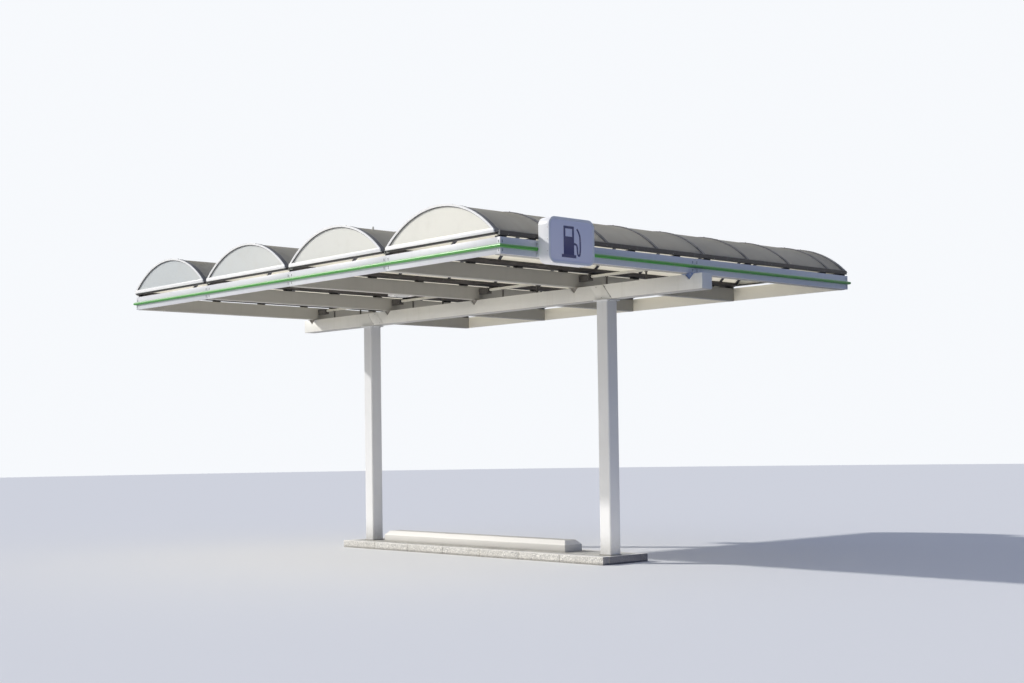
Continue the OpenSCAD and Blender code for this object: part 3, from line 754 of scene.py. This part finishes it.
# %% [markdown]
# ## Screws and bolts
# Screws hold the sheets and trims, and bolts hold the steel. A flat disc of colour would do from afar, but a
# head that stands out catches light and has a shadow. Each kind is modelled once and then copied to its
# places. `facing` says where a fixing goes and which way its head looks. The heads are small and there are
# hundreds, so each has only a few dozen faces. A slightly different turn for each keeps them from looking
# stamped.

# %% Places
def facing(point, out, turn=0.0):
    """The place of a fixing, with its head towards out."""
    look = Vector(out).to_track_quat("Z", "Y").to_matrix().to_4x4()
    return Matrix.Translation(point) @ look @ Matrix.Rotation(turn, 4, "Z")


def scattered(first, places, name):
    """Copies of the first piece at all the places, as one piece. The first one goes."""
    copies = []
    for place in places:
        copy = bpy.data.objects.new(name, first.data.copy())
        copy.data.transform(place)
        bpy.context.collection.objects.link(copy)
        copies.append(copy)
    bpy.data.objects.remove(first)
    return joined(copies, name)


# %% A screw head
def sloping_rim(head, slope, drawn, z):
    """Draws in the top of a head, so that its rim slopes, and leaves the top selected."""
    pick(head, on_top)
    bpy.ops.transform.translate(value=(0.0, 0.0, -slope))
    extruded((0.0, 0.0, slope))
    bpy.ops.transform.resize(value=(drawn, drawn, 1.0), center_override=(0.0, 0.0, z))


def screw_head(radius, height):
    """A pan head with a small socket, which looks along Z."""
    head = settle(added(bpy.ops.mesh.primitive_cylinder_add, vertices=12, radius=radius, depth=height,
                        location=(0.0, 0.0, height / 2)))
    sloping_rim(head, height * 0.3, 0.72, height)
    bpy.ops.mesh.inset(thickness=radius * 0.36)
    extruded((0.0, 0.0, -height * 0.5))
    close(head)
    bpy.ops.object.shade_smooth_by_angle(angle=math.radians(50.0))
    return head


# %% A bolt
def bolt(radius, height, washer_radius):
    """A six-sided head with a round washer under it, which looks along Z."""
    thick = 0.003
    washer = settle(added(bpy.ops.mesh.primitive_cylinder_add, vertices=20, radius=washer_radius,
                          depth=thick, location=(0.0, 0.0, thick / 2)))
    ease(washer, 0.0006, 1)
    head = settle(added(bpy.ops.mesh.primitive_cylinder_add, vertices=6, radius=radius, depth=height,
                        location=(0.0, 0.0, thick + height / 2)))
    sloping_rim(head, height * 0.16, 0.84, thick + height)
    close(head)
    bpy.ops.object.shade_smooth_by_angle(angle=math.radians(20.0))
    return joined([head, washer], "bolt")


# %% [markdown]
# The rib caps are screwed down through the sheet about every three hundred millimetres, and the white arch
# trims and bottom bars are screwed to the end frames. The places could be typed in one by one. Worked out,
# they follow the arch exactly: the angle from the top of a vault gives both the point and the way out.

# %% Cap screws
vault_x = (-3.9, -1.3, 1.3, 3.9)
both_sides = (-1, 1)
cap_radius, trim_radius = 1.7775, 1.7615


def on_arch(x, radius, angle, y):
    """A point of a vault's round, at an angle from its top."""
    return x + radius * math.sin(angle), y, vault_z + radius * math.cos(angle)


rib_y = [-4.177, *[-3.055 + 1.125 * i for i in range(7)], 4.177]
cap_angles = [math.radians(-38.0 + 9.5 * i) for i in range(9)]
cap_places = [facing(on_arch(x, cap_radius, angle, y), (math.sin(angle), 0.0, math.cos(angle)),
                     0.9 * n + y)
              for x in vault_x for y in rib_y for n, angle in enumerate(cap_angles)]
cap_screws = scattered(screw_head(0.009, 0.006), cap_places, "cap_screws")
finished(cap_screws, dark_screw, slot_of["vault_ribs_1"])

# %% Trim and bar screws
trim_face_y, bar_face_y, bar_middle_z = 4.230, 4.236, 5.017
trim_angles = [math.radians(-38.5 + 7.7 * i) for i in range(11)]
trim_places = [facing(on_arch(x, trim_radius, angle, s * trim_face_y), (0.0, s, 0.0), angle * 9)
               for x in vault_x for s in both_sides for angle in trim_angles]
bar_places = [facing((x - 1.12 + 0.28 * i, s * bar_face_y, bar_middle_z), (0.0, s, 0.0), i * 0.8)
              for x in vault_x for s in both_sides for i in range(9)]
trim_screws = scattered(screw_head(0.006, 0.003), trim_places + bar_places, "trim_screws")
finished(trim_screws, trim_white, slot_of["end_trims"])

# %% [markdown]
# The outer base profiles are fixed to the fascia's upper edge with a row of screws in their lower shadow
# groove. In the groove they would hardly show as colour, so these too are real heads, only smaller.

# %% Profile screws
groove_x, groove_z = 5.190, 4.969
profile_places = [facing((s * groove_x, -4.0 + 0.5 * i, groove_z), (s, 0.0, 0.0), i)
                  for s in both_sides for i in range(17)]
profile_screws = scattered(screw_head(0.0045, 0.003), profile_places, "profile_screws")
finished(profile_screws, zinc, slot_of["base_profiles"])

# %% [markdown]
# The fascia panels hang on screws beside every joint and corner, two above the stripe and two below it. On
# the real canopy they have gone dark. Each side could have a list of its own, but all four follow one rule,
# so one loop over the heights and sides finds every place.

# %% Fascia screws
fascia_x, fascia_y, fascia_middle_z = 5.200, 4.170, 4.800


def fascia_places():
    """The places of the screws on the outer faces of all four fascias."""
    heights = [fascia_middle_z + s * h for s in both_sides for h in (0.052, 0.074)]
    along_x = [x + d for x in (-2.6, 0.0, 2.6) for d in (-0.05, 0.05)] + [-5.165, 5.165]
    along_y = [-0.05, 0.05, -4.135, 4.135]
    for z in heights:
        for s in both_sides:
            for x in along_x:
                yield facing((x, s * fascia_y, z), (0.0, s, 0.0), x * 7)
            for y in along_y:
                yield facing((s * fascia_x, y, z), (s, 0.0, 0.0), y * 7)


fascia_screws = scattered(screw_head(0.008, 0.005), fascia_places(), "fascia_screws")
finished(fascia_screws, dark_screw, slot_of["fascia_front"])

# %% [markdown]
# ## Corner angles
# A thin white angle covers each corner of the fascia. It could be two thin boxes, but those would meet in a
# seam. It starts as one box, from which all but the two outer faces are deleted, and Solidify gives those
# their sheet thickness. The four corners are turned copies of it.

# %% Corner angles
angle = block("corner_angle", (-0.062, 0.0, 4.6865), (0.0, 0.062, 4.9255))
pick(angle, lambda middle, normal: abs(normal.z) > 0.9 or normal.x < -0.9 or normal.y > 0.9)
bpy.ops.mesh.delete(type="FACE")
close(angle)
sheet = angle.modifiers.new("sheet", "SOLIDIFY")
sheet.thickness, sheet.offset = 0.003, -1.0
bpy.ops.object.modifier_apply(modifier=sheet.name)
ease(angle, 0.0008)
corner_x, corner_y = fascia_x + 0.002, fascia_y + 0.002
corners = [((corner_x, -corner_y, 0.0), 0.0), ((corner_x, corner_y, 0.0), 90.0),
           ((-corner_x, corner_y, 0.0), 180.0), ((-corner_x, -corner_y, 0.0), 270.0)]
corner_places = [Matrix.Translation(point) @ Matrix.Rotation(math.radians(turn), 4, "Z")
                 for point, turn in corners]
corner_angles = scattered(angle, corner_places, "corner_angles")
finished(corner_angles, fascia_white, slot_of["fascia_front"])

# %% [markdown]
# ## The splices
# The long beam comes in three lengths. Each slanted seam is closed with a dark bead of sealant all round,
# and the plate beside it is fixed with plug welds that have been left unpainted. A dark line in the paint
# would be flat; a thin rounded bar lies in the seam as a bead does and stands just proud of it.

# %% Seam sealant
seam_x, beam_middle_z, beam_half_height = (-3.147, 3.385), 4.5495, 0.126
seam_run, seam_rise = 0.2, 0.251


def side_beads(x):
    """Beads down one slanted seam, one on each face of the beam."""
    half = math.hypot(seam_run, seam_rise) / 2 - 0.006
    beads = []
    for s in both_sides:
        bead = ease(block("bead", (-0.006, -0.0015, -half), (0.006, 0.0015, half)), 0.0012)
        bead.location = (x, s * 0.1205, beam_middle_z)
        bead.rotation_euler = (0.0, -math.atan2(seam_run, seam_rise), 0.0)
        beads.append(settle(bead))
    return beads


def cross_bead(x, z):
    """A bead across the beam, where a seam comes out on its top or underside."""
    bead = block("bead", (x - 0.006, -0.119, z - 0.0012), (x + 0.006, 0.119, z + 0.0012))
    return ease(bead, 0.001)


seams = [bead for x in seam_x for bead in side_beads(x)]
seams += [cross_bead(x + end * seam_run / 2, beam_middle_z - end * beam_half_height)
          for end in (1, -1) for x in seam_x]
finished(joined(seams, "seam_beads"), mastic, slot_of["splice_plates"])

# %% Plug welds
plate_face_y = 0.126
plugs = ((-3.195, 4.640), (-2.995, 4.640), (-3.035, 4.455), (-2.835, 4.455),
         (3.335, 4.640), (3.135, 4.640), (3.455, 4.455), (3.255, 4.455))
plug_places = [facing((x, s * plate_face_y, z), (0.0, s, 0.0)) for s in both_sides for x, z in plugs]
plug_welds = scattered(screw_head(0.007, 0.003), plug_places, "plug_welds")
finished(plug_welds, dark_screw, slot_of["splice_plates"])

# %% [markdown]
# ## Bolts under the beams
# Four bolts hold the beam to each column cap, and four more go through each shoe plate into its cross beam.
# Only their heads show. The same bolt is used in two sizes, and it is copied by the middle lines of the
# columns and beams, so that none can stand beside its plate.

# %% Bolts
column_x, cross_beam_x = (-3.255, 3.255), (-5.18, -2.6, 0.0, 2.6, 5.18)
cap_underside, shoe_underside = 4.404, 4.675
cap_bolts = [facing((x + dx, dy, cap_underside), (0.0, 0.0, -1.0), dx * 9 + dy)
             for x in column_x for dx in (-0.142, 0.142) for dy in (-0.09, 0.09)]
finished(scattered(bolt(0.012, 0.010, 0.016), cap_bolts, "cap_bolts"), zinc, slot_of["column_caps"])
shoe_bolts = [facing((x + dx, dy, shoe_underside), (0.0, 0.0, -1.0), x + dx)
              for x in cross_beam_x for dx in (-0.045, 0.045) for dy in (-0.143, 0.143)]
finished(scattered(bolt(0.009, 0.008, 0.013), shoe_bolts, "shoe_bolts"), zinc, slot_of["beam_shoes"])

# %% [markdown]
# ## Feet and heads of the columns
# A fillet of sealant runs round each foot, where the paving was cut to the column, and a weld runs under
# the cap plate. A spun ring would be round, and these are square: one face of a low box is drawn inwards,
# and Bevel rounds the slope into a fillet.

# %% Column rings
def ring_round(name, x, half, near_z, far_z, draw):
    """A low square ring about a column; draw is the share to which its far face is drawn in."""
    low, high = sorted((near_z, far_z))
    ring = block(name, (x - half, -half, low), (x + half, half, high))
    pick(ring, lambda middle, normal: normal.z * (far_z - near_z) > 0)
    bpy.ops.transform.resize(value=(draw, draw, 1.0), center_override=(x, 0.0, far_z))
    return ease(close(ring), 0.004, 3)


feet = [ring_round("foot", x, 0.140, 0.137, 0.152, 0.92) for x in column_x]
finished(joined(feet, "foot_sealant"), mastic, slot_of["island_paving"])
heads = [ring_round("head", x, 0.133, 4.405, 4.396, 0.95) for x in column_x]
finished(joined(heads, "head_welds"), column_white, slot_of["column_caps"])

# %% [markdown]
# ## Boxes and tubes under the roof
# The dark boxes have a screwed lid on each side and a gland where the tube goes in. Grooves in the box
# would suggest a lid, but a thin rounded plate that stands proud shows its edge from every side. The gland
# is the bolt in another size, because both are a six-sided nut on a round collar.

# %% Box lids and glands
lid_low, lid_high, lid_y, gland_z = 4.795, 4.881, 0.060, 4.850
lids, lid_screws, glands = [], [], []
for k, x in enumerate((-5.05, -2.54, 0.06, 2.66)):
    for s in both_sides:
        y0, y1 = sorted((s * 0.0545, s * lid_y))
        lids.append(ease(block("lid", (x + 0.012, y0, lid_low), (x + 0.228, y1, lid_high)), 0.003))
        lid_screws += [facing((x + dx, s * lid_y, z), (0.0, s, 0.0), dx * 30)
                       for dx in (0.024, 0.216) for z in (lid_low + 0.010, lid_high - 0.010)]
    glands.append(facing((x + 0.240, 0.0, gland_z), (1.0, 0.0, 0.0), k))
finished(joined(lids, "box_lids"), box_dark, slot_of["service_boxes"])
finished(scattered(screw_head(0.0045, 0.003), lid_screws, "lid_screws"), zinc, slot_of["service_boxes"])
finished(scattered(bolt(0.034, 0.018, 0.036), glands, "tube_glands"), rubber, slot_of["service_boxes"])

# %% [markdown]
# ## The sign
# The sign shows a plain road-sign symbol: a tank with a window and a hose. It is laid out flat in the Y-Z
# plane from dark film. It could be a mask in the sign's finish, but film has a clean edge at any distance.
# The window is inset from both faces of the body and bridged through. The hose is a bent curve with a
# round section, made a mesh and then flattened.

# %% Sign symbol
sign_y, sign_z = -3.0075, 4.9235
film_back_x, film_front_x = 5.451, 5.4525


def film(name, y0, y1, z0, z1):
    """A flat rectangle of film on the sign's face, measured from its middle."""
    return block(name, (film_back_x, sign_y + y0, sign_z + z0), (film_front_x, sign_y + y1, sign_z + z1))


tank_top, rim_width = 0.215, 0.036
tank = film("tank", -0.165, 0.045, -0.195, tank_top)
pick(tank, lambda middle, normal: abs(normal.x) > 0.9)
bpy.ops.mesh.inset(thickness=rim_width)
window_top = (film_back_x, sign_y, sign_z + tank_top - rim_width)
bpy.ops.transform.resize(value=(1.0, 1.0, 0.34), center_override=window_top)
bpy.ops.mesh.bridge_edge_loops()
close(tank)
step = film("step", -0.205, 0.085, -0.240, -0.195)

# %% Hose of the symbol
hose = added(bpy.ops.curve.primitive_nurbs_path_add, location=(0.0, 0.0, 0.0))
bpy.ops.object.mode_set(mode="EDIT")
bpy.ops.curve.select_all(action="SELECT")
bpy.ops.curve.subdivide(number_cuts=1)
close(hose)
bends = [(0.038, -0.035), (0.092, -0.035), (0.115, -0.060), (0.105, -0.175), (0.140, -0.220),
         (0.182, -0.175), (0.168, 0.050), (0.168, 0.110), (0.105, 0.185)]
for point, (y, z) in zip(hose.data.splines[0].points, bends):
    point.co = (0.0, y, z, 1.0)
hose.data.bevel_depth, hose.data.bevel_resolution = 0.015, 2
hose.data.resolution_u = 6
hose.data.use_fill_caps = True
bpy.ops.object.convert(target="MESH")
hose.scale = (0.05, 1.0, 1.0)
hose.location = (5.4517, sign_y, sign_z)
settle(hose)
finished(ease(joined([tank, step, hose], "sign_mark"), 0.0003, 1), mark_blue, slot_of["sign_face"])

# %% [markdown]
# The rim of the box is screwed to its body on all four sides, and bolts hold the box's bracket. They are
# the heads from before at new places, so the sign looks made by the same hands as the rest.

# %% Sign screws
rim_x, bracket_x = 5.425, 5.220
sign_screws = [facing((rim_x, y, sign_z + z), (0.0, s, 0.0), z * 40)
               for s, y in ((-1, -3.470), (1, -2.545)) for z in (-0.17, 0.0, 0.17)]
sign_screws += [facing((rim_x, sign_y + y, z), (0.0, 0.0, s), y * 40)
                for s, z in ((-1, 4.590), (1, 5.257)) for y in (-0.28, 0.0, 0.28)]
finished(scattered(screw_head(0.006, 0.004), sign_screws, "sign_screws"), zinc, slot_of["sign_box"])
bracket_bolts = [facing((bracket_x, y, z), (0.0, s, 0.0), z)
                 for s, y in ((-1, -3.475), (1, -2.540)) for z in (4.740, 4.875)]
finished(scattered(bolt(0.008, 0.006, 0.011), bracket_bolts, "bracket_bolts"), zinc,
         slot_of["sign_bracket"])

# %% [markdown]
# ## Floor
# The floor is only a stage. To the camera it is pale all over. What scatters from it is warm and pale near
# the columns, which brightens the underside of the roof, and darker and cooler further out. Two lamps could
# do that, but light that comes back from the floor reaches every corner in the right measure.

# %% Floor
floor = added(bpy.ops.mesh.primitive_circle_add, vertices=96, radius=90.0, fill_type="NGON",
              location=(0.0, 0.0, 0.0))
floor.name = "floor"
stage = Finish("stage_floor", rough=0.9)
pale = stage.node("ShaderNodeBsdfDiffuse", {"Color": (0.80, 0.81, 0.83)})
away = stage.node("ShaderNodeVectorMath", {0: stage.place, 1: (-1.5, -1.5, 0.0)}, out="Value",
                  operation="DISTANCE")
tone = stage.mix(away.above(8.0, 2.5), (0.84, 0.81, 0.76), (0.13, 0.16, 0.22))
warm = stage.node("ShaderNodeBsdfDiffuse", {"Color": tone})
stage.end(stage.either(stage.seen(), warm, pale))
floor.data.materials.append(stage.material)
